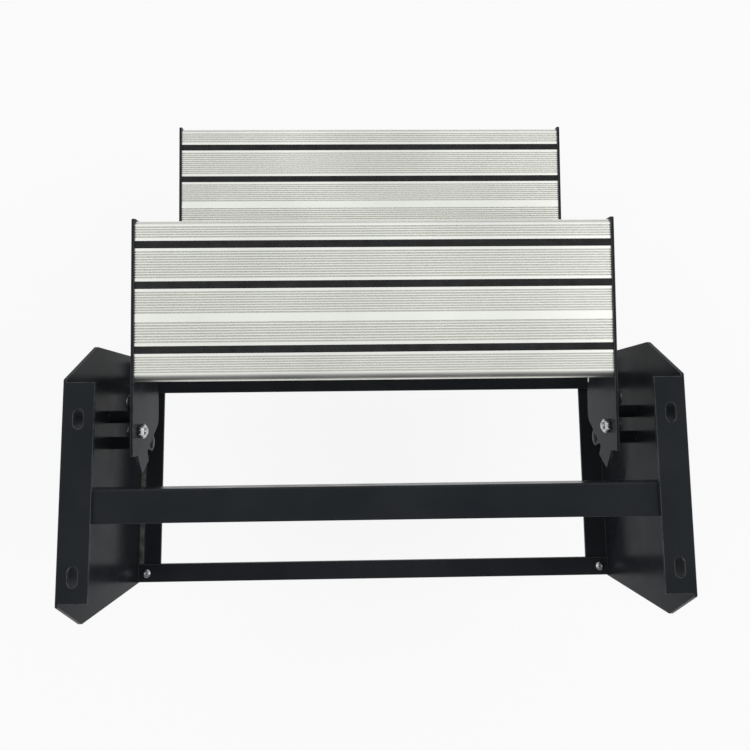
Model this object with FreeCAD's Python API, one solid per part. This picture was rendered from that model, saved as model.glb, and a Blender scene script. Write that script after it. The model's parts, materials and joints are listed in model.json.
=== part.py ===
import FreeCAD, Part
import math
import os

V = FreeCAD.Vector

# Driving dimensions, millimetres. X points out from the vehicle, Y to the left, Z up.
# The origin is the centre of the four fixing slots, on the top face of the flanges.

# Frame
frame_width = 600.0
frame_height = 250.0
sheet = 3.0
flange_width = 30.0
front_reach = 150.0
rear_reach = 131.0
top_front = 110.5
top_rear = 100.0
front_chamfer_drop = 78.0
rear_chamfer_drop = 60.0
corner_radius = 9.0
flange_relief = 2.5
slot_pitch = 146.0
slot_width = 9.5
slot_length = 19.0
bar_depth = 32.0
bar_height = 30.0
bar_wall = 2.5
bar_front = 6.3
strip_width = 22.0
strip_thick = 4.0
front_strip_back = 106.5
strip_inset = 1.5
strip_screw_inset = 14.0
strip_screw_radius = 3.0
strip_head_radius = 5.5
strip_head_height = 3.2

# Treads
side_room = 50.0
tread_depth = 166.0
tread_thick = 26.0
tread_tilt = 4.0
tread_front = 275.5
tread_level = -31.3
plate_thick = 3.0
plate_rise = 1.5
rib_pitch = 2.5
rib_land = 1.4
rib_depth = 0.9
front_nose = 6.0
rear_nose = 11.0
wall_top = 5.5
wall_side = 2.6
web = 2.2
insert_shares = (0.1512, 0.4036, 0.8048)
insert_width = 7.0
insert_foot = 10.0
insert_depth = 3.2
insert_foot_depth = 1.2
insert_proud = 0.6
insert_lip = 3.0
band_share = 0.6078
web_shares = (0.277, 0.6078, 0.9036)
band_width = 8.0
tread_overlap = 4.0
lower_shift_down = 196.0

# Linkage; "back" sizes run back from the tread's rear edge, "drop" sizes down from its top
rear_pivot_back = 51.4
rear_pivot_drop = 19.6
front_pivot_back = 22.0
front_pivot_drop = 15.6
link_lean = 13.5
link_rise = 66.0
link_width = 18.0
link_thick = 4.0
link_gap = 2.0
pin_radius = 4.0
rivet_radius = 6.5
rivet_thick = 0.9
spacer_radius = 7.0
nut_flats = 13.0
nut_height = 6.5
head_height = 4.0
low_head_radius = 6.0
low_head_height = 2.0
stud_depth = 2.0
hinge_drop = 95.0
hinge_pin_radius = 5.0
hinge_flats = 16.0
hinge_arm_thick = 4.0
hinge_lobe = 14.0
hinge_foot_ahead = (8.0, 28.0)
hinge_foot_drop = 18.0
hinge_foot_radius = 10.0

# End plates
plate_tip = 2.0
plate_drop = 91.0
arch_drop = 74.0
arch_front = 52.0
arch_back = 14.0
lobe_back = 48.0
lobe_front = 16.0
tail_top_back = 75.5
notch_drop = 15.5
tail_tip_back = 97.0
tail_tip_drop = 31.0
tail_heel_back = 85.5
tail_heel_drop = 54.0
tail_step_drop = 48.5
lower_plate_drop = 36.0
lower_plate_back = 4.0
screw_shares = (0.542, 0.723, 0.904)
lower_screw_share = 0.241
plate_screw_drop = 14.0
plate_screw_radius = 2.5
plate_head_radius = 4.6
plate_head_height = 2.4

# Clearances
run_fit = 0.05
bolt_fit = 0.1
side_gap = 0.3
plate_gap = 0.4

# Places worked out from the above
half = frame_width / 2
inner = half - sheet
slot_y = half - flange_width / 2
lower_half = half - side_room
upper_half = lower_half - plate_gap
link_plane = upper_half + link_gap
tilt = math.radians(tread_tilt)
insert_places = [share * tread_depth for share in insert_shares]
band_place = band_share * tread_depth
arm_rear_pivot = (-tread_depth - rear_pivot_back, -rear_pivot_drop)
arm_front_pivot = (-tread_depth - front_pivot_back, -front_pivot_drop)
hinge_place = (0.0, -hinge_drop)
hinge_foot = [(-tread_depth + ahead, -hinge_foot_drop) for ahead in hinge_foot_ahead]
plate_screws = [-share * tread_depth for share in screw_shares]


def place(s, w, shift=(0.0, 0.0)):
    """Side-view point of a step, s along the tread from its front edge, w square to it."""
    s, w = s + shift[0], w + shift[1]
    return (tread_front + s * math.cos(tilt) - w * math.sin(tilt),
            tread_level + s * math.sin(tilt) + w * math.cos(tilt))


lower_shift = (tread_depth - tread_overlap, -lower_shift_down)
A1 = place(*arm_rear_pivot)
A2 = place(*arm_front_pivot)
C1 = (A1[0] - link_lean, A1[1] - link_rise)
C2 = (A2[0] - link_lean, A2[1] - link_rise)
HINGE = place(*hinge_place)


def outline(points):
    """Closed wire in the XZ plane; each point is x, z and a corner radius."""
    n = len(points)
    ends = []
    for i in range(n):
        x, z, r = points[i]
        p, a, b = V(x, 0, z), points[i - 1], points[(i + 1) % n]
        if r <= 0:
            ends.append((p, p, None))
            continue
        da = (V(a[0], 0, a[1]) - p).normalize()
        db = (V(b[0], 0, b[1]) - p).normalize()
        half_angle = da.getAngle(db) / 2
        cut = r / math.tan(half_angle)
        mid = (da + db).normalize() * (r / math.sin(half_angle) - r)
        ends.append((p + da * cut, p + db * cut, p + mid))
    edges = []
    for i in range(n):
        first, second, mid = ends[i]
        if mid is not None:
            edges.append(Part.Arc(first, mid, second).toShape())
        follow = ends[(i + 1) % n][0]
        if (follow - second).Length > 1e-4:
            edges.append(Part.LineSegment(second, follow).toShape())
    return Part.Wire(edges)


def slab(points, y0, y1):
    """Plate with an XZ outline, from y0 to y1."""
    face = Part.Face(outline(points))
    face.translate(V(0, y0, 0))
    return face.extrude(V(0, y1 - y0, 0))


def rod(at, radius, y0, y1):
    """Round bar along Y at a side-view point."""
    return Part.makeCylinder(radius, y1 - y0, V(at[0], y0, at[1]), V(0, 1, 0))


def tube(at, outer, bore, y0, y1):
    return rod(at, outer, y0, y1).cut(rod(at, bore, y0, y1))


def hexagon(at, flats, y0, y1):
    """Hexagon prism along Y."""
    r = flats / math.sqrt(3)
    points = [(at[0] + r * math.cos(math.radians(60 * k)), at[1] + r * math.sin(math.radians(60 * k)), 0)
              for k in range(6)]
    return slab(points, y0, y1)


def box(x0, x1, y0, y1, z0, z1):
    return Part.makeBox(x1 - x0, y1 - y0, z1 - z0, V(x0, y0, z0))


def union(shapes):
    shape = shapes[0]
    for other in shapes[1:]:
        shape = shape.fuse(other)
    return shape.removeSplitter()


def flip(shape):
    """The same piece on the right-hand side."""
    return shape.mirror(V(0, 0, 0), V(0, 1, 0))


def tilted(shape, shift=(0.0, 0.0)):
    """Moves a shape drawn level at the tread's front edge to its tipped place."""
    x, z = place(0, 0, shift)
    shape = shape.copy()
    shape.rotate(V(0, 0, 0), V(0, 1, 0), -tread_tilt)
    shape.translate(V(x, 0, z))
    return shape


def save(name, shapes):
    shape = shapes[0] if len(shapes) == 1 else Part.makeCompound(shapes)
    shape.exportStep("parts/%s.step" % name)


def screw_places():
    """Strip screws in plan, x and y."""
    xs = (-rear_reach + strip_inset + strip_width / 2, front_strip_back + strip_width / 2)
    return [(x, y) for x in xs for y in (half - strip_screw_inset, -half + strip_screw_inset)]


def bracket():
    """Left side of the frame, a folded C with slots in its top flange."""
    side = slab([(top_front, 0, 2), (front_reach, -front_chamfer_drop, corner_radius),
                 (front_reach, -frame_height, 2), (-rear_reach, -frame_height, 2),
                 (-rear_reach, -rear_chamfer_drop, corner_radius), (-top_rear, 0, 2)], inner, half)
    lip = half - flange_width
    top = box(-top_rear + flange_relief, top_front - flange_relief, lip, inner, -sheet, 0)
    foot = box(-rear_reach + flange_relief, front_reach - flange_relief, lip, inner,
               -frame_height, -frame_height + sheet)
    shape = union([side, top, foot])
    for sign in (-1, 1):
        x, half_run = sign * slot_pitch / 2, (slot_length - slot_width) / 2
        cut = box(x - half_run, x + half_run, slot_y - slot_width / 2, slot_y + slot_width / 2, -2 * sheet, sheet)
        for end in (-half_run, half_run):
            cut = cut.fuse(Part.makeCylinder(slot_width / 2, 3 * sheet, V(x + end, slot_y, -2 * sheet)))
        shape = shape.cut(cut)
    for at in (C1, C2):
        shape = shape.cut(rod(at, pin_radius + bolt_fit, inner - 1, half + 1))
    for x, y in screw_places():
        if y > 0:
            shape = shape.cut(Part.makeCylinder(strip_screw_radius + bolt_fit, 3 * sheet,
                                                V(x, y, -frame_height - sheet)))
    return shape


def cross_bar():
    z0 = -sheet - bar_height
    outer = box(bar_front - bar_depth, bar_front, -inner, inner, z0, -sheet)
    hollow = box(bar_front - bar_depth + bar_wall, bar_front - bar_wall, -inner, inner, z0 + bar_wall,
                 -sheet - bar_wall)
    return outer.makeFillet(2.0, [e for e in outer.Edges if abs(e.Length - 2 * inner) < 1e-6]).cut(hollow)


def strip(x0):
    z0 = -frame_height + sheet
    shape = box(x0, x0 + strip_width, -inner, inner, z0, z0 + strip_thick)
    for x, y in screw_places():
        shape = shape.cut(Part.makeCylinder(strip_screw_radius + bolt_fit, 3 * strip_thick, V(x, y, z0 - strip_thick)))
    return shape


def strip_screw(x, y):
    """Pan-head screw standing in a strip and the flange under it."""
    top = -frame_height + sheet + strip_thick
    shank = Part.makeCylinder(strip_screw_radius, sheet + strip_thick, V(x, y, -frame_height))
    head = Part.makeCylinder(strip_head_radius, strip_head_height, V(x, y, top))
    head = head.makeFillet(1.6, [max(head.Edges, key=lambda e: e.CenterOfMass.z)])
    socket = Part.makeCylinder(2.0, 1.6, V(x, y, top + strip_head_height - 1.6))
    return head.fuse(shank).cut(socket).removeSplitter()


def tread_section():
    """Outline of the tread extrusion, its ribbed top broken by insert channels and a plain band."""
    front, back = -front_nose, -(tread_depth - rear_nose)
    points = [(-tread_depth + 3, -tread_thick), (-3, -tread_thick), (0, -tread_thick + 3)]
    for k in range(7):
        a = math.radians(15 * k)
        points.append((front + front_nose * math.cos(a), -front_nose + front_nose * math.sin(a)))
    spans = []
    stops = [(p, insert_width / 2 + insert_lip, "channel") for p in insert_places]
    stops.append((band_place, band_width / 2, "band"))
    stops.sort()
    start = front_nose
    for p, reach, kind in stops:
        spans.append((start, p - reach, None, 0))
        spans.append((p - reach, p + reach, kind, p))
        start = p + reach
    spans.append((start, -back, None, 0))
    for a, b, kind, p in spans:
        if kind == "channel":
            n, f = insert_width / 2 + bolt_fit, insert_foot / 2 + bolt_fit
            d, e = -insert_depth, -insert_depth + insert_foot_depth + bolt_fit
            points += [(-p + n, 0), (-p + n, e), (-p + f, e), (-p + f, d), (-p - f, d), (-p - f, e),
                       (-p - n, e), (-p - n, 0)]
        elif kind == "band":
            continue
        else:
            count = max(1, int((b - a) / rib_pitch))
            pitch = (b - a) / count
            gap = pitch - rib_land
            for k in range(count):
                x = a + (k + 0.5) * pitch
                points += [(-x + gap / 2, 0), (-x + gap / 4, -rib_depth), (-x - gap / 4, -rib_depth),
                           (-x - gap / 2, 0)]
    for k in range(7):
        a = math.radians(90 + 15 * k)
        points.append((back + rear_nose * math.cos(a), -rear_nose + rear_nose * math.sin(a)))
    points.append((-tread_depth, -tread_thick + 3))
    return points


def tread(half_width):
    """Hollow tread extrusion between its two end plates."""
    length = half_width - plate_thick
    wire = Part.makePolygon([V(x, -length, z) for x, z in tread_section() + tread_section()[:1]])
    shape = Part.Face(wire).extrude(V(0, 2 * length, 0))
    walls = [-wall_side] + [-share * tread_depth for share in web_shares]
    for k in range(3):
        x1 = walls[k] - (web / 2 if k else 0)
        x0 = walls[k + 1] + web / 2
        room = slab([(x0, -wall_top, 1.5), (x1, -wall_top - (2.5 if k == 0 else 0), 1.5),
                     (x1, -tread_thick + wall_side, 1.5), (x0, -tread_thick + wall_side, 1.5)], -length, length)
        shape = shape.cut(room)
    return shape


def insert(place_s, half_width):
    """Rubber strip with a wide foot held in a channel."""
    n, f = insert_width / 2, insert_foot / 2
    d, e = -insert_depth, -insert_depth + insert_foot_depth
    points = [(n, e), (n, insert_proud - 0.4), (n - 0.4, insert_proud)]
    for k in range(3):
        x = 1.6 - 1.6 * k
        points += [(x + 0.4, insert_proud), (x + 0.2, insert_proud - 0.4), (x - 0.2, insert_proud - 0.4),
                   (x - 0.4, insert_proud)]
    points += [(-n + 0.4, insert_proud), (-n, insert_proud - 0.4), (-n, e), (-f, e), (-f, d), (f, d), (f, e)]
    length = half_width - plate_thick
    wire = Part.makePolygon([V(x - place_s, -length, z) for x, z in points + points[:1]])
    return Part.Face(wire).extrude(V(0, 2 * length, 0))


def upper_plate():
    """Left end plate of the upper tread, carried back as the swing arm with its notched tail."""
    h, lobe, back = hinge_place, hinge_lobe, -tread_depth
    points = [(plate_tip, plate_rise, 2.5), (back - tail_top_back, plate_rise, 0),
              (back - tail_top_back - 0.5, -notch_drop, 0), (back - tail_tip_back, -tail_tip_drop, 0),
              (back - tail_heel_back, -tail_heel_drop, 0), (back - tail_top_back, -tail_step_drop, 0),
              (back - lobe_back, -plate_drop, 12), (back - lobe_front, -plate_drop, 12),
              (back + arch_back, -arch_drop, 18), (-arch_front, -arch_drop, 18),
              (h[0] - lobe, h[1] - lobe, 10), (h[0] + lobe, h[1] - lobe, lobe - 1),
              (h[0] + lobe, h[1] + 1.4 * lobe, lobe), (plate_tip, h[1] + 4 * lobe, lobe)]
    shape = slab(points, upper_half - plate_thick, upper_half)
    for at, r in ((arm_rear_pivot, pin_radius), (hinge_place, hinge_pin_radius)):
        shape = shape.cut(rod(at, r + bolt_fit, upper_half - 2 * plate_thick, upper_half + 1))
    shape = shape.cut(rod(arm_front_pivot, pin_radius + bolt_fit, upper_half - stud_depth, upper_half + 1))
    for s in plate_screws:
        shape = shape.cut(rod((s, -plate_screw_drop), plate_screw_radius + bolt_fit,
                              upper_half - 2 * plate_thick, upper_half + 1))
    return tilted(shape)


def lower_plate():
    """Left end plate of the lower tread."""
    back = -tread_depth - lower_plate_back
    points = [(plate_tip, plate_rise, 2.5), (back, plate_rise, 4), (back, -lower_plate_drop, 10),
              (0.55 * back, -lower_plate_drop, 20), (0.12 * back, -tread_thick - 2, 20),
              (plate_tip, -tread_thick + 4, 8)]
    shape = slab(points, lower_half - plate_thick, lower_half)
    for s, w in lower_holes():
        shape = shape.cut(rod((s, w), plate_screw_radius + bolt_fit, lower_half - 2 * plate_thick, lower_half + 1))
    return tilted(shape, lower_shift)


def lower_holes():
    return list(hinge_foot) + [(-lower_screw_share * tread_depth, -plate_screw_drop)]


def hinge_arm():
    """Left flat arm that carries the lower step from the hinge."""
    y0, y1 = lower_half, lower_half + hinge_arm_thick
    feet = [(s + lower_shift[0], w + lower_shift[1]) for s, w in hinge_foot]
    h, r = hinge_place, hinge_foot_radius
    low = feet[0][1] - r
    points = [(h[0] - hinge_lobe, h[1] + hinge_lobe, hinge_lobe - 1.5),
              (h[0] + hinge_lobe, h[1] + hinge_lobe, hinge_lobe - 1.5),
              (feet[1][0] + r, feet[1][1] + r, 14), (feet[1][0] + r, low, r - 2),
              (feet[0][0] - r, low, r - 2)]
    shape = slab(points, y0, y1)
    shape = shape.cut(rod(h, hinge_pin_radius + run_fit, y0 - 1, y1 + 1))
    for at in feet:
        shape = shape.cut(rod(at, plate_screw_radius + bolt_fit, y0 - 1, y1 + 1))
    return tilted(shape)


def link(low):
    """Left swing link, a flat bar with round ends and a pivot hole at each end."""
    r, length = link_width / 2, math.hypot(link_lean, link_rise)
    points = [(-r, -r, r - 0.01), (r, -r, r - 0.01), (r, length + r, r - 0.01), (-r, length + r, r - 0.01)]
    shape = slab(points, link_plane, link_plane + link_thick)
    for z in (0, length):
        shape = shape.cut(rod((0, z), pin_radius + run_fit, link_plane - 1, link_plane + link_thick + 1))
    shape.rotate(V(0, 0, 0), V(0, 1, 0), math.degrees(math.atan2(link_lean, link_rise)))
    shape.translate(V(low[0], 0, low[1]))
    return shape


def pivot_pin(at):
    """Pin through the frame's side, a spacer and a link, headed outside and riveted over inside the link."""
    head = hexagon(at, nut_flats, half, half + head_height)
    end = link_plane - side_gap
    return union([head, rod(at, pin_radius, end, half), rod(at, rivet_radius, end - rivet_thick, end)])


def nut(at, flats, radius):
    """Nut on the inner face of the swing arm."""
    y1 = upper_half - plate_thick
    return hexagon(at, flats, y1 - nut_height, y1).cut(rod(at, radius, y1 - nut_height, y1))


def arm_bolt(at, inside):
    """Low-headed bolt from the outside of a link, through a washer, into the swing arm."""
    y = link_plane + link_thick + side_gap
    head = rod(at, low_head_radius, y, y + low_head_height)
    head = head.makeFillet(0.6 * low_head_height, [max(head.Edges, key=lambda e: e.CenterOfMass.y)])
    return head.fuse(rod(at, pin_radius, inside, y)).removeSplitter()


def side_screw(at, face, deep, radius, head_radius, head_height):
    """Button-head screw along Y with its head on the face at y = face."""
    head = rod(at, head_radius, face, face + head_height)
    head = head.makeFillet(head_height * 0.6, [max(head.Edges, key=lambda e: e.CenterOfMass.y)])
    return head.fuse(rod(at, radius, face - deep, face)).removeSplitter()


def both(shape):
    return [shape, flip(shape)]


os.makedirs("parts", exist_ok=True)

save("bracket_left", [bracket()])
save("bracket_right", [flip(bracket())])
save("cross_bar", [cross_bar()])
save("strip_front", [strip(front_strip_back)])
save("strip_rear", [strip(-rear_reach + strip_inset)])
save("strip_screws", [strip_screw(x, y) for x, y in screw_places()])

upper_in = upper_half - plate_thick
link_out = link_plane + link_thick + side_gap
pins, spacers, washers = [], [], []
for low, high in ((C1, A1), (C2, A2)):
    pins += both(pivot_pin(low))
    spacers += both(tube(low, spacer_radius, pin_radius + run_fit, link_out, inner))
    washers += both(tube(high, spacer_radius, pin_radius + run_fit, upper_half, link_plane - side_gap))
save("pivot_pins", pins)
save("frame_spacers", spacers)
save("arm_washers", washers)
save("arm_bolts", both(arm_bolt(A1, upper_in - nut_height - 2)) + both(arm_bolt(A2, upper_half - stud_depth)))
save("arm_nuts", both(nut(A1, nut_flats, pin_radius)))

for name, low in (("rear", C1), ("front", C2)):
    left = link(low)
    save("link_%s_left" % name, [left])
    save("link_%s_right" % name, [flip(left)])

save("upper_tread", [tilted(tread(upper_half))])
save("lower_tread", [tilted(tread(lower_half), lower_shift)])
for k, s in enumerate(insert_places):
    save("upper_insert_%d" % (k + 1), [tilted(insert(s, upper_half))])
    save("lower_insert_%d" % (k + 1), [tilted(insert(s, lower_half), lower_shift)])
save("upper_plate_left", [upper_plate()])
save("upper_plate_right", [flip(upper_plate())])
save("lower_plate_left", [lower_plate()])
save("lower_plate_right", [flip(lower_plate())])
save("hinge_arm_left", [hinge_arm()])
save("hinge_arm_right", [flip(hinge_arm())])

upper_screws, lower_screws = [], []
for s in plate_screws:
    upper_screws += both(side_screw(place(s, -plate_screw_drop), upper_half, plate_thick, plate_screw_radius,
                                    plate_head_radius, plate_head_height))
for s, w in lower_holes():
    foot = (s, w) in hinge_foot
    face = lower_half + (hinge_arm_thick if foot else 0)
    lower_screws += both(side_screw(place(s, w, lower_shift), face, plate_thick + (hinge_arm_thick if foot else 0),
                                    plate_screw_radius, plate_head_radius, plate_head_height))
save("upper_screws", upper_screws)
save("lower_screws", lower_screws)

hinge_out = lower_half + hinge_arm_thick + side_gap
hinge_bolt = union([hexagon(HINGE, hinge_flats, hinge_out, hinge_out + head_height),
                    rod(HINGE, hinge_pin_radius, upper_in - nut_height - 2, hinge_out)])
save("hinge_bolts", both(hinge_bolt))
save("hinge_nuts", both(nut(HINGE, hinge_flats, hinge_pin_radius)))
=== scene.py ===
# %% [markdown]
# # A double entry step for a caravan
# The step is bolted under the vehicle's floor. A black folded-steel frame carries four swing links, the links
# carry the upper step, and the lower step hangs from a hinge under the upper one. The solid model says where
# everything is, so this lesson starts by loading it. It then makes the surfaces that a camera looks at
# closely: ribbed treads, rubber inserts, softened sheet edges, bolts and screws.

# %% Load the frame
import json
import math

import bmesh
import bpy
import numpy as np
from mathutils import Matrix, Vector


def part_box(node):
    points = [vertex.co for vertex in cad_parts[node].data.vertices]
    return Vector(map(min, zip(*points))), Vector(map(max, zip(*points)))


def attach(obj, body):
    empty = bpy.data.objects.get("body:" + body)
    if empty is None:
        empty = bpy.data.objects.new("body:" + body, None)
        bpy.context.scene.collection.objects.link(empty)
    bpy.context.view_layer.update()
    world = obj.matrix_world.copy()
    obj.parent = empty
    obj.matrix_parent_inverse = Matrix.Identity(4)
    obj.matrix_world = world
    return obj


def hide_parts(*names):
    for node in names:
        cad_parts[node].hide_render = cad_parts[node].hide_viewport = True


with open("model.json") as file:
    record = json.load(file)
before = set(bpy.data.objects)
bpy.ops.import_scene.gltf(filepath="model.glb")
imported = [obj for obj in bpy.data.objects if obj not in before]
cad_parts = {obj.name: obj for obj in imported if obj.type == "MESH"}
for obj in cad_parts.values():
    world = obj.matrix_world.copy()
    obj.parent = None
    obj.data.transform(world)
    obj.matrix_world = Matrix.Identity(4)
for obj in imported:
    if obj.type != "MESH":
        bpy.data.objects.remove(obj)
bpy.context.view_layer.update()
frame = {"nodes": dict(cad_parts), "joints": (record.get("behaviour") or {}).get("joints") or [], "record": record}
MM = 0.001
scene = bpy.context.scene
scene.view_settings.view_transform = "Standard"

# %% [markdown]
# ## Effects that several finishes share
# Powder coat, aluminium, rubber and zinc differ in colour and gloss, but each of them is a little uneven.
# Three node groups give that unevenness. The first makes broad, soft patches and puts out one value between
# two limits. The second makes a fine tooth, which may be stretched so that it runs along an extrusion. The
# third finds edges, which handling rubs first; the lighter colour laid there is also a painted highlight, for
# the light that rounded paint edges catch.
#
# Each range below is a pair of values that a Map Range node spreads out: the noise of the patches, the cosine
# between a rounded normal and the true one, which falls at an edge, and the noise that breaks up the edge wear
# and painted highlight.

# %% Shared node groups
PATCH_RANGE = (0.32, 0.68)
EDGE_RANGE = (0.995, 0.90)
BREAK_RANGE = (0.24, 0.54)
WEAR_AND_HIGHLIGHT_REACH = 0.0014


def new_group(name, inputs, outputs):
    """An empty shader group with its sockets, and its input and output nodes."""
    group = bpy.data.node_groups.new(name, "ShaderNodeTree")
    for label, kind, value in inputs:
        socket = group.interface.new_socket(name=label, in_out="INPUT", socket_type=kind)
        if value is not None:
            socket.default_value = value
    for label in outputs:
        group.interface.new_socket(name=label, in_out="OUTPUT", socket_type="NodeSocketFloat")
    return group, group.nodes.new("NodeGroupInput"), group.nodes.new("NodeGroupOutput")


def set_range(node, limits):
    """Sets the limits of a Map Range node: the two it maps from and, if given, the two it maps to."""
    for socket, value in zip(("From Min", "From Max", "To Min", "To Max"), limits):
        node.inputs[socket].default_value = value


def soft_mottle_group():
    """Value = Low to High, following a noise of the given Scale."""
    group, given, made = new_group(
        "soft_mottle",
        [("Vector", "NodeSocketVector", None), ("Scale", "NodeSocketFloat", 20.0),
         ("Low", "NodeSocketFloat", 0.3), ("High", "NodeSocketFloat", 0.5)], ["Value"])
    noise = group.nodes.new("ShaderNodeTexNoise")
    noise.inputs["Detail"].default_value = 4.0
    spread = group.nodes.new("ShaderNodeMapRange")
    set_range(spread, PATCH_RANGE)
    link = group.links.new
    link(given.outputs["Vector"], noise.inputs["Vector"])
    link(given.outputs["Scale"], noise.inputs["Scale"])
    link(noise.outputs["Fac"], spread.inputs["Value"])
    link(given.outputs["Low"], spread.inputs["To Min"])
    link(given.outputs["High"], spread.inputs["To Max"])
    link(spread.outputs["Result"], made.inputs["Value"])
    return group


def fine_tooth_group():
    """Height = a fine noise in coordinates multiplied by Stretch."""
    group, given, made = new_group(
        "fine_tooth",
        [("Vector", "NodeSocketVector", None), ("Stretch", "NodeSocketVector", (1.0, 1.0, 1.0)),
         ("Scale", "NodeSocketFloat", 800.0)], ["Height"])
    stretch = group.nodes.new("ShaderNodeVectorMath")
    stretch.operation = "MULTIPLY"
    noise = group.nodes.new("ShaderNodeTexNoise")
    noise.inputs["Detail"].default_value = 3.0
    link = group.links.new
    link(given.outputs["Vector"], stretch.inputs[0])
    link(given.outputs["Stretch"], stretch.inputs[1])
    link(stretch.outputs["Vector"], noise.inputs["Vector"])
    link(given.outputs["Scale"], noise.inputs["Scale"])
    link(noise.outputs["Fac"], made.inputs["Height"])
    return group


def edge_wear_and_highlight_group():
    """Edge wear and painted highlight = Amount near edges, where a rounded normal leaves the true one, broken up
    by a noise.
    """
    group, given, made = new_group(
        "edge_wear_and_highlight",
        [("Vector", "NodeSocketVector", None), ("Scale", "NodeSocketFloat", 90.0),
         ("Amount", "NodeSocketFloat", 0.5)], ["Wear"])
    shape = group.nodes.new("ShaderNodeNewGeometry")
    rounded = group.nodes.new("ShaderNodeBevel")
    rounded.inputs["Radius"].default_value = WEAR_AND_HIGHLIGHT_REACH
    same = group.nodes.new("ShaderNodeVectorMath")
    same.operation = "DOT_PRODUCT"
    edge, broken = (group.nodes.new("ShaderNodeMapRange") for _ in range(2))
    set_range(edge, EDGE_RANGE)
    set_range(broken, BREAK_RANGE)
    noise = group.nodes.new("ShaderNodeTexNoise")
    noise.inputs["Detail"].default_value = 5.0
    first, second = (group.nodes.new("ShaderNodeMath") for _ in range(2))
    first.operation = second.operation = "MULTIPLY"
    link = group.links.new
    link(given.outputs["Vector"], noise.inputs["Vector"])
    link(given.outputs["Scale"], noise.inputs["Scale"])
    link(rounded.outputs["Normal"], same.inputs[0])
    link(shape.outputs["True Normal"], same.inputs[1])
    link(same.outputs["Value"], edge.inputs["Value"])
    link(noise.outputs["Fac"], broken.inputs["Value"])
    link(edge.outputs["Result"], first.inputs[0])
    link(broken.outputs["Result"], first.inputs[1])
    link(first.outputs[0], second.inputs[0])
    link(given.outputs["Amount"], second.inputs[1])
    link(second.outputs[0], made.inputs["Wear"])
    return group


SOFT_MOTTLE, FINE_TOOTH, EDGE_WEAR_AND_HIGHLIGHT = soft_mottle_group(), fine_tooth_group(), edge_wear_and_highlight_group()
print("groups", SOFT_MOTTLE.name, FINE_TOOTH.name, EDGE_WEAR_AND_HIGHLIGHT.name)

# %% [markdown]
# ## Finishes
# Each finish names two colours that the mottle mixes, two roughness limits and a tooth for its bump. Plain
# numbers, such as how metallic a finish is, sit on the shader's own sockets. The aluminium's tooth is
# stretched along the tread, because an extrusion carries fine die lines from end to end. Two more colours are
# optional: a lighter one for edges, which is paint wear and also a painted highlight for the light that rounded
# edges catch, and a darker one that paints shade into grooves, where a mesh carries an attribute named groove.

# %% Finish builder
GLOSS_FINER = 2.7
BUMP_DISTANCE = 0.0003
# Noise scale and strength of the edge wear and painted edge highlight.
WEAR_AND_HIGHLIGHT_SCALE, WEAR_AND_HIGHLIGHT_AMOUNT = 90.0, 0.85


def finish(name, dark, light, mottle, rough, tooth, stretch, bump, metallic,
           specular=0.5, wear_and_highlight=None, groove=None):
    """Principled material: colour dark to light, roughness low to high, bump strength and its tooth scale."""
    material = bpy.data.materials.new(name)
    material.use_nodes = True
    nodes, link = material.node_tree.nodes, material.node_tree.links.new
    shader = nodes["Principled BSDF"]
    shader.inputs["Metallic"].default_value = metallic
    shader.inputs["Specular IOR Level"].default_value = specular
    place = nodes.new("ShaderNodeTexCoord")

    def group(tree, **values):
        """A shared group, fed with the piece's own coordinates."""
        node = nodes.new("ShaderNodeGroup")
        node.node_tree = tree
        link(place.outputs["Object"], node.inputs["Vector"])
        for key, value in values.items():
            node.inputs[key].default_value = value
        return node

    patches = group(SOFT_MOTTLE, Scale=mottle, Low=0.0, High=1.0)
    gloss = group(SOFT_MOTTLE, Scale=mottle * GLOSS_FINER, Low=rough[0], High=rough[1])
    grain = group(FINE_TOOTH, Scale=tooth, Stretch=stretch)
    colour = nodes.new("ShaderNodeMix")
    colour.data_type = "RGBA"
    colour.inputs["A"].default_value = (*dark, 1.0)
    colour.inputs["B"].default_value = (*light, 1.0)
    relief = nodes.new("ShaderNodeBump")
    relief.inputs["Strength"].default_value = bump
    relief.inputs["Distance"].default_value = BUMP_DISTANCE
    link(patches.outputs["Value"], colour.inputs["Factor"])
    result = colour.outputs["Result"]

    def over(below, factor, tint):
        """Lays a tint over the colour so far."""
        layer = nodes.new("ShaderNodeMix")
        layer.data_type = "RGBA"
        layer.inputs["B"].default_value = (*tint, 1.0)
        link(factor, layer.inputs["Factor"])
        link(below, layer.inputs["A"])
        return layer.outputs["Result"]

    # Lighter edges: paint wear from handling, and a painted highlight standing in for light on rounded edges.
    if wear_and_highlight:
        worn_and_lit_edges = group(EDGE_WEAR_AND_HIGHLIGHT, Scale=WEAR_AND_HIGHLIGHT_SCALE, Amount=WEAR_AND_HIGHLIGHT_AMOUNT)
        result = over(result, worn_and_lit_edges.outputs["Wear"], wear_and_highlight)
    # Painted shade: the groove colour darkens the hollows between the ribs, where shade falls.
    if groove:
        groove_shade = nodes.new("ShaderNodeAttribute")
        groove_shade.attribute_name = "groove"
        result = over(result, groove_shade.outputs["Fac"], groove)
    link(result, shader.inputs["Base Color"])
    link(gloss.outputs["Value"], shader.inputs["Roughness"])
    link(grain.outputs["Height"], relief.inputs["Height"])
    link(relief.outputs["Normal"], shader.inputs["Normal"])
    return material


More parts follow.
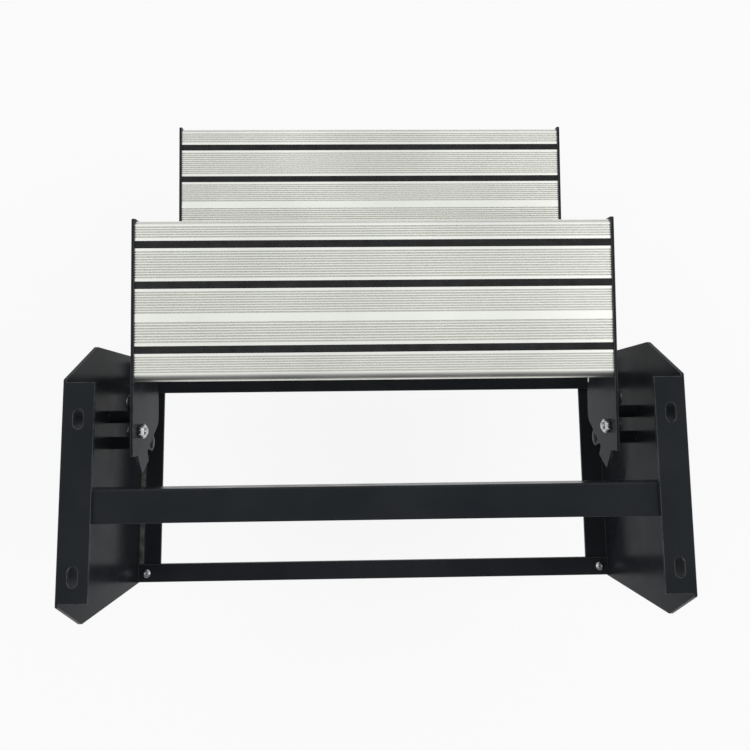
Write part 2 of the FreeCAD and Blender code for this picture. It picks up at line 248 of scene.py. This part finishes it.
# %% The four finishes
EVEN, ALONG_TREAD = (1, 1, 1), (1, 0.01, 1)
FINISH = {
    "black_steel": finish(
        "black_powder_coat", dark=(0.0158, 0.0180, 0.0214), light=(0.0218, 0.0240, 0.0276), mottle=14.0,
        rough=(0.17, 0.26), tooth=700.0, stretch=EVEN, bump=0.06, metallic=0.0, specular=0.025,
        # edge colour: paint wear plus a painted highlight on rounded edges
        wear_and_highlight=(0.125, 0.124, 0.120)),
    "tread_aluminium": finish(
        "extruded_aluminium", dark=(0.76, 0.76, 0.71), light=(0.89, 0.89, 0.83), mottle=6.0,
        rough=(0.30, 0.37), tooth=900.0, stretch=ALONG_TREAD, bump=0.04, metallic=1.0,
        # painted shade in the hollows between the ribs
        groove=(0.78, 0.78, 0.73)),
    "insert_rubber": finish(
        "charcoal_rubber", dark=(0.0145, 0.0145, 0.0155), light=(0.0265, 0.0265, 0.0275), mottle=60.0,
        rough=(0.62, 0.82), tooth=1500.0, stretch=EVEN, bump=0.25, metallic=0.0, specular=0.3),
    "zinc_fixings": finish(
        "bright_zinc", dark=(0.40, 0.41, 0.43), light=(0.60, 0.60, 0.60), mottle=160.0,
        rough=(0.18, 0.34), tooth=1200.0, stretch=EVEN, bump=0.08, metallic=1.0),
}
SLOT_OF = {row["node"]: row["material_slot"] for row in frame["record"]["subparts"]}
BODY_OF = {node: body for body, nodes in frame["record"]["behaviour"]["bodies"].items() for node in nodes}
print("finishes", sorted(FINISH))

# %% [markdown]
# ## From arrays to pieces
# Every new piece is worked out as whole numpy arrays. One helper turns corner and face arrays into a mesh,
# merges doubled corners and points the faces outwards. A second one says which finish the piece has, which
# body it rides on and which node it replaces.

# %% Piece helpers
SMOOTH_ANGLE = math.radians(38)
MERGE, SLIVER = 1e-6, 1e-7


def piece(name, node, corners, faces, loops=()):
    """Makes a mesh object from corners and faces; each set of rings in loops is filled flat, with holes."""
    mesh = bpy.data.meshes.new(name)
    mesh.from_pydata(np.asarray(corners).tolist(), [], np.asarray(faces).tolist())
    work = bmesh.new()
    work.from_mesh(mesh)
    if len(loops):
        work.verts.ensure_lookup_table()
        for ring_set in loops:
            edges = [work.edges.get((work.verts[a], work.verts[b]))
                     for ring in ring_set for a, b in zip(ring, np.roll(ring, -1))]
            bmesh.ops.triangle_fill(work, edges=edges, use_beauty=True)
    bmesh.ops.remove_doubles(work, verts=work.verts, dist=MERGE)
    bmesh.ops.dissolve_degenerate(work, edges=work.edges, dist=SLIVER)
    bmesh.ops.recalc_face_normals(work, faces=work.faces)
    work.to_mesh(mesh)
    work.free()
    return settle(bpy.data.objects.new(name, mesh), node)


def settle(obj, node):
    """Smooths the mesh up to an angle, gives the finish of the node and lets the piece stand for it."""
    scene.collection.objects.link(obj)
    obj.data.polygons.foreach_set("use_smooth", np.ones(len(obj.data.polygons), bool))
    obj.data.set_sharp_from_angle(angle=SMOOTH_ANGLE)
    obj.data.materials.clear()
    obj.data.materials.append(FINISH[SLOT_OF[node]])
    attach(obj, BODY_OF[node])
    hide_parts(node)
    return obj


# %% [markdown]
# ## The treads
# A tread is an aluminium extrusion: one section carried straight from end plate to end plate. Its top has
# fine ribs, three channels that hold rubber, and one plain band. Its front edge is one arc, and its rear edge
# a wide arc that ends in a tight one. The section is the only thing to design, so it is built as an array of
# points going round, with each groove a shallow parabola between flat lands. The hollow cells are separate
# rings inside it. Lengths are in millimetres until a mesh is made, and RIB_GAP is a groove's share of the
# pitch.

# %% Tread section
DEPTH, THICK = 166.0, 26.0
FRONT_NOSE, REAR_BROW, REAR_CORNER, REAR_TURN = 6.0, 10.0, 2.5, 140.0
REAR_RUN = REAR_CORNER - (REAR_BROW - REAR_CORNER) * math.cos(math.radians(REAR_TURN))
CORNER_HEIGHT = (REAR_BROW - REAR_CORNER) * math.sin(math.radians(REAR_TURN)) - REAR_BROW
BOTTOM_ROUND, CELL_ROUND = 3.0, 1.5
RIB_PITCH, RIB_GAP, RIB_DEPTH, RIB_STEPS = 2.5, 0.44, 0.9, 10
INSERT_AT = [share * DEPTH for share in (0.1512, 0.4036, 0.8048)]
INSERT_WIDTH, INSERT_FOOT, INSERT_DEPTH, FOOT_HEIGHT = 7.0, 10.0, 3.2, 1.2
LIP, BAND_AT, BAND_WIDTH = 3.0, 0.6078 * DEPTH, 8.0
FIT, NECK_CHAMFER, SAME_POINT = 0.1, 0.3, 1e-4


def arc(centre, radius, start, end, count=13):
    """Points on a circle arc, angles in degrees."""
    a = np.radians(np.linspace(start, end, count))
    return np.stack([centre[0] + radius * np.cos(a), centre[1] + radius * np.sin(a)], 1)


def ribs(start, end):
    """Ribbed stretch of the top, from start to end behind the front edge.

    A groove's depth is the rib depth times one less the square of d, which is 0 at its middle and 1 at its
    sides.
    """
    count = int((end - start) / RIB_PITCH)
    phase = np.linspace(0, count, count * RIB_STEPS + 1)
    off = np.abs(phase % 1.0 - 0.5) / (RIB_GAP / 2)
    return np.stack([-(start + phase / count * (end - start)), -RIB_DEPTH * np.clip(1 - off**2, 0, 1)], 1)


def channel(at):
    """Undercut channel: a narrow neck at the top over a wide foot."""
    n, f = INSERT_WIDTH / 2 + FIT, INSERT_FOOT / 2 + FIT
    d, e = -INSERT_DEPTH, -INSERT_DEPTH + FOOT_HEIGHT + FIT
    half_side = np.array([(n + NECK_CHAMFER, 0), (n, -NECK_CHAMFER), (n, e), (f, e), (f, d)])
    other = half_side[::-1] * (-1, 1)
    return np.concatenate([half_side, other]) + (-at, 0)


def tread_section():
    """The tread's outer ring.

    It starts at the front edge, goes over the top to a rear nose of two arcs and comes home along the bottom.
    """
    stops = [(p, INSERT_WIDTH / 2 + LIP, True) for p in INSERT_AT] + [(BAND_AT, BAND_WIDTH / 2, False)]
    rows, start = [arc((-FRONT_NOSE, -FRONT_NOSE), FRONT_NOSE, 0, 90)], FRONT_NOSE
    for at, reach, holds_insert in sorted(stops):
        rows.append(ribs(start, at - reach))
        if holds_insert:
            rows.append(channel(at))
        start = at + reach
    rows.append(ribs(start, DEPTH - REAR_RUN))
    rows.append(arc((REAR_RUN - DEPTH, -REAR_BROW), REAR_BROW, 90, REAR_TURN))
    rows.append(arc((REAR_CORNER - DEPTH, CORNER_HEIGHT), REAR_CORNER, REAR_TURN, 180, count=7))
    rows.append(arc((BOTTOM_ROUND - DEPTH, BOTTOM_ROUND - THICK), BOTTOM_ROUND, 180, 270, count=5))
    rows.append(arc((-BOTTOM_ROUND, BOTTOM_ROUND - THICK), BOTTOM_ROUND, 270, 360, count=5))
    ring = np.concatenate(rows)
    keep = np.linalg.norm(ring - np.roll(ring, 1, 0), axis=1) > SAME_POINT
    return ring[keep]


def cell(back, front, top, bottom, r=CELL_ROUND):
    """A hollow cell: a rectangle with rounded corners."""
    centres = [(front - r, top - r), (back + r, top - r), (back + r, bottom + r), (front - r, bottom + r)]
    return np.concatenate([arc(centre, r, 90 * k, 90 * k + 90, count=5) for k, centre in enumerate(centres)])


SECTION = tread_section()
CELL_BOTTOM = -23.4
CELL_SIDES = [(-44.9, -2.6, -8.0), (-99.8, -47.1, -5.5), (-148.9, -102.0, -5.5)]
CELLS = [cell(back, front, top, CELL_BOTTOM) for back, front, top in CELL_SIDES]
print("tread section points", len(SECTION))

# %% [markdown]
# Both treads tip up a few degrees towards the outside, so a person's weight brings them level. The section is
# drawn level, turned by that angle and moved to the front edge of its own step.

# %% Carry a section along a tread
TILT = math.radians(4.0)
ALONG = np.array([math.cos(TILT), math.sin(TILT)])
SQUARE = np.array([-math.sin(TILT), math.cos(TILT)])
UPPER_EDGE = np.array([275.5, -31.3])
LOWER_AHEAD, LOWER_BELOW = 162.0, 196.0
LOWER_EDGE = UPPER_EDGE + LOWER_AHEAD * ALONG - LOWER_BELOW * SQUARE
STEPS = {"upper": UPPER_EDGE, "lower": LOWER_EDGE}
TOP_MARGIN = 0.1


def carried(name, node, rings, edge):
    """Prism: each ring of (along, square) points is repeated at both ends of the node and joined by quads."""
    low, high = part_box(node)
    ends = np.array([low.y, high.y])
    corners, faces, first_caps, last_caps, base = [], [], [], [], 0
    for ring in rings:
        n = len(ring)
        xz = (edge + ring[:, :1] * ALONG + ring[:, 1:] * SQUARE) * MM
        grid = np.stack([np.tile(xz[:, 0], 2), np.repeat(ends, n), np.tile(xz[:, 1], 2)], 1)
        i = np.arange(n)
        j = (i + 1) % n
        faces.append(np.stack([i, j, j + n, i + n], 1) + base)
        first_caps.append(i + base)
        last_caps.append(i + n + base)
        corners.append(grid)
        base += 2 * n
    return piece(name, node, np.concatenate(corners), np.concatenate(faces), [first_caps, last_caps])


def mark_grooves(obj, edge):
    """Attribute groove: how far a point of the top lies below the lands, 0 on them and 1 a rib depth down. The
    aluminium finish uses it to paint shade into the hollows between the ribs.
    """
    points = np.empty(len(obj.data.vertices) * 3)
    obj.data.vertices.foreach_get("co", points)
    from_edge = points.reshape(-1, 3)[:, [0, 2]] / MM - edge
    along, square = from_edge @ ALONG, from_edge @ SQUARE
    on_top = (along < -FRONT_NOSE) & (along > REAR_RUN - DEPTH) & (square > -INSERT_DEPTH - TOP_MARGIN)
    depth = np.where(on_top, np.clip(-square / RIB_DEPTH, 0, 1), 0.0)
    obj.data.attributes.new("groove", "FLOAT", "POINT").data.foreach_set("value", depth)


for step, edge in STEPS.items():
    made = carried(step + "_tread_ribbed", step + "_tread", [SECTION, *CELLS], edge)
    mark_grooves(made, edge)
    print(made.name, len(made.data.polygons))

# %% [markdown]
# ## Rubber inserts
# The inserts give grip. Each is a strip with a wide foot in the channel and a top that stands a little proud,
# with four small ridges pressed into it. It is a section carried along, like the tread itself.

# %% Inserts
PROUD, RIDGES, RIDGE_STEPS = 0.6, 4, 10
RIDGE_SWING, TOP_INSET = 0.22, 0.15


def insert_section(at):
    """Ring of an insert: its top is a row of raised cosines, one for each ridge."""
    n, f = INSERT_WIDTH / 2, INSERT_FOOT / 2
    d, e = -INSERT_DEPTH, -INSERT_DEPTH + FOOT_HEIGHT
    x = np.linspace(n - TOP_INSET, -n + TOP_INSET, RIDGES * RIDGE_STEPS + 1)
    wave = np.cos(2 * math.pi * RIDGES * (x - n + TOP_INSET) / (2 * n - 2 * TOP_INSET))
    top = np.stack([x, PROUD - RIDGE_SWING * (1 + wave)], 1)
    return np.concatenate([[(f, d), (f, e), (n, e)], top, [(-n, e), (-f, e), (-f, d)]]) + (-at, 0)


for step, edge in STEPS.items():
    for k, insert_at in enumerate(INSERT_AT):
        node = "%s_insert_%d" % (step, k + 1)
        carried(node + "_ridged", node, [insert_section(insert_at)], edge)
print("inserts", 2 * len(INSERT_AT))

# %% [markdown]
# ## Sheet steel
# The brackets, plates, links and bars are cut from sheet or tube, and a powder coat rounds every edge. A
# sharp edge catches no light, so each of these is a merged copy of its node with a narrow bevel on the outer
# edges, and its normals follow the large faces so that these stay flat. The long folds of the brackets get a
# wider bevel, as a press brake leaves.

# %% Soften sheet edges
SHEET_NODES = ["bracket_left", "bracket_right", "cross_bar", "strip_front", "strip_rear",
               "upper_plate_left", "upper_plate_right", "lower_plate_left", "lower_plate_right",
               "hinge_arm_left", "hinge_arm_right",
               "link_rear_left", "link_rear_right", "link_front_left", "link_front_right"]
EDGE_ROUND, FOLD_ROUND = 0.45 * MM, 2.4 * MM
SHEET_MERGE, NEAR, LEVEL = 2e-6, 1e-5, 1e-6
FLAT_ANGLE, SHARP_ANGLE = math.radians(0.4), math.radians(30)


def fold_mask(points, pairs, low, high):
    """True for edges that run along X on the outer corner between a bracket's side and a flange."""
    a, b = points[pairs[:, 0]], points[pairs[:, 1]]
    outer = max(abs(low.y), abs(high.y))
    on_side = (np.abs(np.abs(a[:, 1]) - outer) < NEAR) & (np.abs(np.abs(b[:, 1]) - outer) < NEAR)
    level = np.abs(a[:, 2] - b[:, 2]) < LEVEL
    at_end = (np.abs(a[:, 2] - high.z) < NEAR) | (np.abs(a[:, 2] - low.z) < NEAR)
    return on_side & level & at_end


def softened(node):
    """A merged copy of a sheet node whose sharp outward edges are bevelled."""
    mesh = frame["nodes"][node].data.copy()
    work = bmesh.new()
    work.from_mesh(mesh)
    bmesh.ops.remove_doubles(work, verts=work.verts, dist=SHEET_MERGE)
    bmesh.ops.dissolve_limit(work, angle_limit=FLAT_ANGLE, verts=work.verts, edges=work.edges)
    sharp = np.array([e.is_manifold and e.is_convex and e.calc_face_angle(0.0) > SHARP_ANGLE
                      for e in work.edges])
    work.to_mesh(mesh)
    work.free()
    points = np.empty(len(mesh.vertices) * 3)
    mesh.vertices.foreach_get("co", points)
    pairs = np.empty(len(mesh.edges) * 2, int)
    mesh.edges.foreach_get("vertices", pairs)
    weight = np.where(sharp, EDGE_ROUND / FOLD_ROUND, 0.0)
    if node.startswith("bracket"):
        weight[sharp & fold_mask(points.reshape(-1, 3), pairs.reshape(-1, 2), *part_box(node))] = 1.0
    mesh.attributes.new("bevel_weight_edge", "FLOAT", "EDGE").data.foreach_set("value", weight)
    obj = settle(bpy.data.objects.new(node + "_coated", mesh), node)
    bevel = obj.modifiers.new("soft_edges", "BEVEL")
    bevel.limit_method = "WEIGHT"
    bevel.width = FOLD_ROUND
    bevel.segments = 3
    flat = obj.modifiers.new("flat_faces", "WEIGHTED_NORMAL")
    flat.keep_sharp = True
    flat.weight = 100
    return obj


for node in SHEET_NODES:
    softened(node)
print("softened", len(SHEET_NODES))

# %% [markdown]
# ## Bolts, nuts and screws
# A bolt is a turned piece whose head has six flats. Both come from one formula: at each station along the
# axis the radius is a turned radius, or the distance to a flat where that is less. The corners of a real nut
# are cut by a cone in the same way, which is why its faces end in curved lines. A station whose flats lie
# further out than any radius stays round.

# %% Turned pieces
ROUND = 99.0
THREAD_ROWS, THREAD_STEP, THREAD_DEPTH = 6, 0.6, 0.25
TIP_TAPER, TIP_RUN = 0.9, 0.5
COLLAR, COLLAR_INSET = 0.4, 0.2
CROWN, CROWN_EDGE, CROWN_RIM, CROWN_FLAT = 1.0, 0.3, 0.1, 0.5
NUT_CONE, NUT_FACE = 0.9, 0.3


def turned(stations, centre, axis, around=48, ring=False):
    """Grid of stations by angle, as corners and faces.

    A station is a height, a turned radius and a distance to six flats. At each angle the lesser of that
    radius and the distance to the nearest flat holds. A ring joins its last station to its first.
    """
    t, r, flat = np.asarray(stations, float).T
    angle = np.linspace(0, 2 * math.pi, around, endpoint=False)
    to_flat = flat[:, None] / np.cos(angle % (math.pi / 3) - math.pi / 6)
    radius = np.minimum(r[:, None], to_flat)
    u, v = radius * np.cos(angle), radius * np.sin(angle)
    h = np.broadcast_to(t[:, None], u.shape)
    order = {"y": (u, h, v), "z": (u, v, h)}[axis]
    corners = (np.stack(order, -1) + np.asarray(centre)).reshape(-1, 3) * MM
    rows = len(t) if ring else len(t) - 1
    i, j = np.meshgrid(np.arange(rows), np.arange(around), indexing="ij")
    i2, j2 = (i + 1) % len(t), (j + 1) % around
    faces = np.stack([i * around + j, i2 * around + j, i2 * around + j2, i * around + j2], -1).reshape(-1, 4)
    return corners, faces


def gathered(name, node, parts):
    """One piece from several turned parts."""
    corners, faces, base = [], [], 0
    for c, f in parts:
        corners.append(c)
        faces.append(f + base)
        base += len(c)
    return piece(name, node, np.concatenate(corners), np.concatenate(faces))


def bolt(tip, seat, height, radius, flats, sign):
    """Bolt along Y: chamfered tip with a short thread, plain shank, then a six-sided head on the seat."""
    begin, top = tip + TIP_RUN, seat + height
    a, corner = flats / 2, flats / math.sqrt(3)
    rows = [(tip, 0, ROUND), (tip, radius - TIP_TAPER, ROUND), (begin, radius - THREAD_DEPTH, ROUND)]
    rows += [(begin + k * THREAD_STEP, radius - THREAD_DEPTH * (k % 2), ROUND) for k in range(THREAD_ROWS)]
    rows += [(seat, radius, ROUND), (seat, a - COLLAR_INSET, ROUND), (seat + COLLAR, a - COLLAR_INSET, ROUND),
             (seat + COLLAR, corner, a), (top - CROWN, corner, a), (top - CROWN_EDGE, a + CROWN_RIM, a),
             (top, a - CROWN_FLAT, ROUND), (top, 0, ROUND)]
    return [(sign * t, r, f) for t, r, f in rows]


def nut(low, high, radius, flats, sign):
    """Nut along Y: a ring whose six corners are cut back by a cone on both faces."""
    a, corner = flats / 2, flats / math.sqrt(3)
    rows = [(low, radius, ROUND), (low, a - NUT_FACE, ROUND), (low + NUT_CONE, corner, a),
            (high - NUT_CONE, corner, a), (high, a - NUT_FACE, ROUND), (high, radius, ROUND)]
    return [(sign * t, r, f) for t, r, f in rows]


# %% Places of the pivots, from the joints and the nodes
PIVOT = {j["name"]: np.array(j["pos_m"])[[0, 2]] / MM for j in frame["joints"]}
REAR_LOW, FRONT_LOW = PIVOT["rear_link_left_swing"], PIVOT["front_link_left_swing"]
REAR_HIGH = PIVOT["upper_step_level"]
FRONT_HIGH = REAR_HIGH + FRONT_LOW - REAR_LOW
HINGE = PIVOT["lower_step_flip"]
SIDES = (1, -1)


def span(node):
    """Lowest and highest Y of a node on the left, in millimetres."""
    low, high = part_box(node)
    return low.y / MM, high.y / MM


LINK = span("link_rear_left")
ARM, HINGE_ARM, OUTSIDE = span("upper_plate_left"), span("hinge_arm_left"), span("bracket_left")[1]


def in_space(pivot):
    """A pivot's side-view place as a point on the middle plane."""
    return (pivot[0], 0.0, pivot[1])


# %% [markdown]
# The frame's pins are riveted over inside the links. The dome of a rivet is a short table: how far a station
# lies in from the link's face, and its radius there.

# %% Bolts and nuts
GAP, PIN, FLATS, HINGE_PIN, HINGE_FLATS = 0.3, 4.0, 13.0, 5.0, 16.0
NUT, HEAD, TIP_PAST, STUD_DEPTH = 6.5, 4.0, 2.0, 2.0
LOW_HEAD, LOW_RADIUS, LOW_RIM, LOW_ROUND = 2.0, 6.0, 0.8, 1.2
RIVET_DOME = [(0.9, 0.0), (0.9, 5.3), (0.5, 6.2), (0.2, 6.5), (0.0, 6.5), (0.0, PIN)]


def pivot_pin(end, seat, sign):
    """Pin along Y: a domed rivet head inside the link, a plain shank, then the bolt's head on the seat."""
    rivet = [(end - drop, radius, ROUND) for drop, radius in RIVET_DOME]
    head = [row for row in bolt(end, seat, HEAD, PIN, FLATS, 1) if row[0] >= seat]
    return [(sign * t, r, f) for t, r, f in rivet + head]


def low_bolt(tip, seat, sign):
    """Bolt along Y with a threaded tip and a low round head, whose edge is a quarter of an ellipse."""
    shank = [row for row in bolt(tip, seat, HEAD, PIN, FLATS, 1) if row[0] < seat] + [(seat, PIN, ROUND)]
    a = np.linspace(0, math.pi / 2, 7)
    heights = seat + LOW_RIM + (LOW_HEAD - LOW_RIM) * np.sin(a)
    radii = LOW_RADIUS - LOW_ROUND * (1 - np.cos(a))
    edge = [(t, r, ROUND) for t, r in zip(heights, radii)]
    head = [(seat, LOW_RADIUS, ROUND), *edge, (seat + LOW_HEAD, 0, ROUND)]
    return [(sign * t, r, f) for t, r, f in shank + head]


pins, arm_bolts, arm_nuts, hinge_bolts, hinge_nuts = [], [], [], [], []
link_seat, hinge_seat = LINK[1] + GAP, HINGE_ARM[1] + GAP
nut_end = ARM[0] - NUT
for side in SIDES:
    for pivot in (REAR_LOW, FRONT_LOW):
        pins.append(turned(pivot_pin(LINK[0] - GAP, OUTSIDE, side), in_space(pivot), "y"))
    arm_bolts.append(turned(low_bolt(nut_end - TIP_PAST, link_seat, side), in_space(REAR_HIGH), "y"))
    arm_bolts.append(turned(low_bolt(ARM[1] - STUD_DEPTH, link_seat, side), in_space(FRONT_HIGH), "y"))
    arm_nuts.append(turned(nut(nut_end, ARM[0], PIN, FLATS, side), in_space(REAR_HIGH), "y", ring=True))
    hinge_bolt = bolt(nut_end - TIP_PAST, hinge_seat, HEAD, HINGE_PIN, HINGE_FLATS, side)
    hinge_bolts.append(turned(hinge_bolt, in_space(HINGE), "y"))
    hinge_nut = nut(nut_end, ARM[0], HINGE_PIN, HINGE_FLATS, side)
    hinge_nuts.append(turned(hinge_nut, in_space(HINGE), "y", ring=True))
for name, parts in (("pivot_pins", pins), ("arm_bolts", arm_bolts), ("arm_nuts", arm_nuts),
                    ("hinge_bolts", hinge_bolts), ("hinge_nuts", hinge_nuts)):
    gathered(name + "_turned", name, parts)
print("bolts and nuts made")

# %% [markdown]
# The screws have low domed heads with a six-sided socket. The dome is part of an ellipse, and the socket is
# the same turned formula going back down inside with a small flat distance. Each kind of screw is given by
# its shank's radius, its head's radius and height, and its socket's flat distance.

# %% Screws
STRIP_SCREW, PLATE_SCREW = (3.0, 5.5, 3.2, 1.8), (2.5, 4.6, 2.4, 1.4)
DOME_ANGLE, DOME_POINTS, HEAD_EASE = 62.0, 8, 0.2
RIM_SHARE, SOCKET_SHARE = 0.35, 0.55
SOCKET_MOUTH, SOCKET_CORNER, SOCKET_EASE = 1.2, 1.15, 0.15


def screw(tip, seat, radius, head, height, socket, sign=1):
    """Screw: plain shank, domed head whose radius and height follow an ellipse, and a six-sided socket."""
    a = np.radians(np.linspace(0, DOME_ANGLE, DOME_POINTS))
    rim = RIM_SHARE * height
    rise = (height - rim) / math.sin(a[-1])
    dome = [(seat + rim + rise * math.sin(x), head * math.cos(x), ROUND) for x in a]
    top = seat + height
    bottom = top - SOCKET_SHARE * height
    corner = socket * SOCKET_CORNER
    rows = [(tip, 0, ROUND), (tip, radius, ROUND), (seat, radius, ROUND), (seat, head - HEAD_EASE, ROUND),
            (seat + HEAD_EASE, head, ROUND), *dome, (top, socket * SOCKET_MOUTH, ROUND),
            (top - SOCKET_EASE, corner, socket), (bottom, corner, socket), (bottom, 0, ROUND)]
    return [(sign * t, r, f) for t, r, f in rows]


# %% Screws of the strips
STRIP_SCREW_INSET = 14.0
FLOOR_OF_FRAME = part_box("bracket_left")[0].z / MM
STRIP_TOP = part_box("strip_rear")[1].z / MM
strip_parts = []
for node in ("strip_front", "strip_rear"):
    low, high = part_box(node)
    for side in SIDES:
        middle = ((low.x + high.x) / 2 / MM, side * (OUTSIDE - STRIP_SCREW_INSET), 0.0)
        strip_parts.append(turned(screw(FLOOR_OF_FRAME, STRIP_TOP, *STRIP_SCREW), middle, "z"))
gathered("strip_screws_domed", "strip_screws", strip_parts)

# %% Screws of the plates and hinge arms
PLATE_DROP, FOOT_DROP = -14.0, -18.0
UPPER_HOLES = [(-DEPTH * share, PLATE_DROP) for share in (0.542, 0.723, 0.904)]
LOWER_HOLES = [(-DEPTH * 0.241, PLATE_DROP)]
HINGE_FEET = [(-DEPTH + ahead, FOOT_DROP) for ahead in (8.0, 28.0)]


def side_screws(holes, edge, face, tip):
    """Screws along Y at side-view points of a step."""
    found = []
    for s, w in holes:
        x, z = edge + s * ALONG + w * SQUARE
        for side in SIDES:
            found.append(turned(screw(tip, face, *PLATE_SCREW, side), (x, 0, z), "y", around=32))
    return found


lower_plate = span("lower_plate_left")
gathered("upper_screws_domed", "upper_screws", side_screws(UPPER_HOLES, UPPER_EDGE, ARM[1], ARM[0]))
gathered("lower_screws_domed", "lower_screws",
         side_screws(HINGE_FEET, LOWER_EDGE, HINGE_ARM[1], lower_plate[0])
         + side_screws(LOWER_HOLES, LOWER_EDGE, lower_plate[1], lower_plate[0]))
print("screws made")

# %% [markdown]
# The nodes of the solid model take their finishes too. Only the spacer tubes and washers, which have no new
# piece, are seen with them.

# %% Finishes for the nodes
for node, obj in frame["nodes"].items():
    obj.data.materials.clear()
    obj.data.materials.append(FINISH[SLOT_OF[node]])

# %% [markdown]
# ## Floor and light
# The step hangs above a pale floor, as it would above the ground. The floor is nearly white to the camera and
# to reflections, but still takes a soft shadow. A broad lamp high on one side and a weaker one opposite give
# shape to the ribs and folds. The sky is brightest overhead, falls off towards the horizon and is darker on
# the side where the vehicle would stand. Each of its two ranges maps a direction's height or outward part to
# a brightness, and the sky is their product.

# %% Floor
GROUND, FLOOR_REACH = -0.46, 60.0
FLOOR_GREY, FLOOR_GLOW = 0.86, 0.86


def bright_to_view(tree, share):
    """A value of share for camera, glossy and transmitted rays and 0 for others."""
    path = tree.nodes.new("ShaderNodeLightPath")
    first, second, scaled = (tree.nodes.new("ShaderNodeMath") for _ in range(3))
    first.operation = second.operation = "MAXIMUM"
    scaled.operation = "MULTIPLY"
    scaled.inputs[1].default_value = share
    tree.links.new(path.outputs["Is Camera Ray"], first.inputs[0])
    tree.links.new(path.outputs["Is Glossy Ray"], first.inputs[1])
    tree.links.new(first.outputs[0], second.inputs[0])
    tree.links.new(path.outputs["Is Transmission Ray"], second.inputs[1])
    tree.links.new(second.outputs[0], scaled.inputs[0])
    return scaled.outputs[0]


floor_mesh = bpy.data.meshes.new("floor")
floor_signs = [(-1, -1), (1, -1), (1, 1), (-1, 1)]
floor_corners = [(x * FLOOR_REACH, y * FLOOR_REACH, GROUND) for x, y in floor_signs]
floor_mesh.from_pydata(floor_corners, [], [(0, 1, 2, 3)])
floor = bpy.data.objects.new("floor", floor_mesh)
scene.collection.objects.link(floor)
pale = bpy.data.materials.new("pale_floor")
pale.use_nodes = True
tree = pale.node_tree
tree.nodes.clear()
matt, glow, mix, out = (tree.nodes.new("ShaderNode" + kind)
                        for kind in ("BsdfDiffuse", "Emission", "MixShader", "OutputMaterial"))
matt.inputs["Color"].default_value = (FLOOR_GREY, FLOOR_GREY, FLOOR_GREY, 1)
glow.inputs["Color"].default_value = (1, 1, 1, 1)
tree.links.new(bright_to_view(tree, FLOOR_GLOW), mix.inputs[0])
tree.links.new(matt.outputs[0], mix.inputs[1])
tree.links.new(glow.outputs[0], mix.inputs[2])
tree.links.new(mix.outputs[0], out.inputs["Surface"])
floor_mesh.materials.append(pale)

# %% Sky
HEIGHT_RANGE = (0.0, 0.75, 0.24, 1.03)
OUTWARD_RANGE = (-0.62, -0.16, 0.20, 1.0)
world = bpy.data.worlds.new("studio")
scene.world = world
world.use_nodes = True
nodes, link = world.node_tree.nodes, world.node_tree.links.new
sky = nodes["Background"]
sky.inputs["Color"].default_value = (0.97, 0.985, 1.0, 1)
toward = nodes.new("ShaderNodeTexCoord")
parts = nodes.new("ShaderNodeSeparateXYZ")
by_height, by_side = (nodes.new("ShaderNodeMapRange") for _ in range(2))
set_range(by_height, HEIGHT_RANGE)
set_range(by_side, OUTWARD_RANGE)
both = nodes.new("ShaderNodeMath")
both.operation = "MULTIPLY"
link(toward.outputs["Generated"], parts.inputs["Vector"])
link(parts.outputs["Z"], by_height.inputs["Value"])
link(parts.outputs["X"], by_side.inputs["Value"])
link(by_height.outputs["Result"], both.inputs[0])
link(by_side.outputs["Result"], both.inputs[1])
link(both.outputs[0], sky.inputs["Strength"])

# %% Lamps
LAMP_TARGET, LAMP_SIZE = (0.1, 0.0, -0.1), 1.6
KEY_AT, KEY_WATTS = (0.1, -2.0, 1.8), 14
FILL_AT, FILL_WATTS = (0.1, 2.0, 1.8), 7


def lamp(name, place, watts):
    """A square lamp at place that points at the target."""
    data = bpy.data.lights.new(name, "AREA")
    data.size = LAMP_SIZE
    data.energy = watts
    obj = bpy.data.objects.new(name, data)
    scene.collection.objects.link(obj)
    back = np.array(place, float) - np.array(LAMP_TARGET, float)
    back /= np.linalg.norm(back)
    right = np.cross((1.0, 0.0, 0.0), back)
    right /= np.linalg.norm(right)
    up = np.cross(back, right)
    turn = np.eye(4)
    turn[:3, :3] = np.stack([right, up, back], 1)
    turn[:3, 3] = place
    obj.matrix_world = Matrix(turn.tolist())


lamp("key", KEY_AT, KEY_WATTS)
lamp("fill", FILL_AT, FILL_WATTS)

# %% [markdown]
# ## Camera
# The photograph looks almost straight down, with the outer edge of the step at the top. The camera's place,
# its pitch, yaw and roll and its focal length were fitted to the corners of the frame and the treads.

# %% Camera
IMAGE = 750.0
FOCAL_PX, MIDDLE_PX = 723.3, (377.9, 334.5)
CAMERA_AT = (0.0682, 0.0155, 0.6992)
YAW, PITCH, ROLL = (math.radians(a) for a in (1.376, 6.786, -0.503))
OUT, RIGHT, UP = np.eye(3)[0], -np.eye(3)[1], np.eye(3)[2]
look = OUT * math.sin(PITCH) - UP * math.cos(PITCH)
upright = OUT * math.cos(PITCH) + UP * math.sin(PITCH)
level = RIGHT * math.cos(YAW) - look * math.sin(YAW)
look = RIGHT * math.sin(YAW) + look * math.cos(YAW)
side_way = level * math.cos(ROLL) + upright * math.sin(ROLL)
top = upright * math.cos(ROLL) - level * math.sin(ROLL)
data = bpy.data.cameras.new("camera")
data.sensor_width = 36.0
data.lens = FOCAL_PX / IMAGE * data.sensor_width
data.shift_x = (IMAGE / 2 - MIDDLE_PX[0]) / IMAGE
data.shift_y = (MIDDLE_PX[1] - IMAGE / 2) / IMAGE
data.clip_start = 0.02
camera = bpy.data.objects.new("camera", data)
scene.collection.objects.link(camera)
turn = np.eye(4)
turn[:3, :3] = np.stack([side_way, top, -look], 1)
turn[:3, 3] = CAMERA_AT
camera.matrix_world = Matrix(turn.tolist())
scene.camera = camera
print("lens", data.lens)
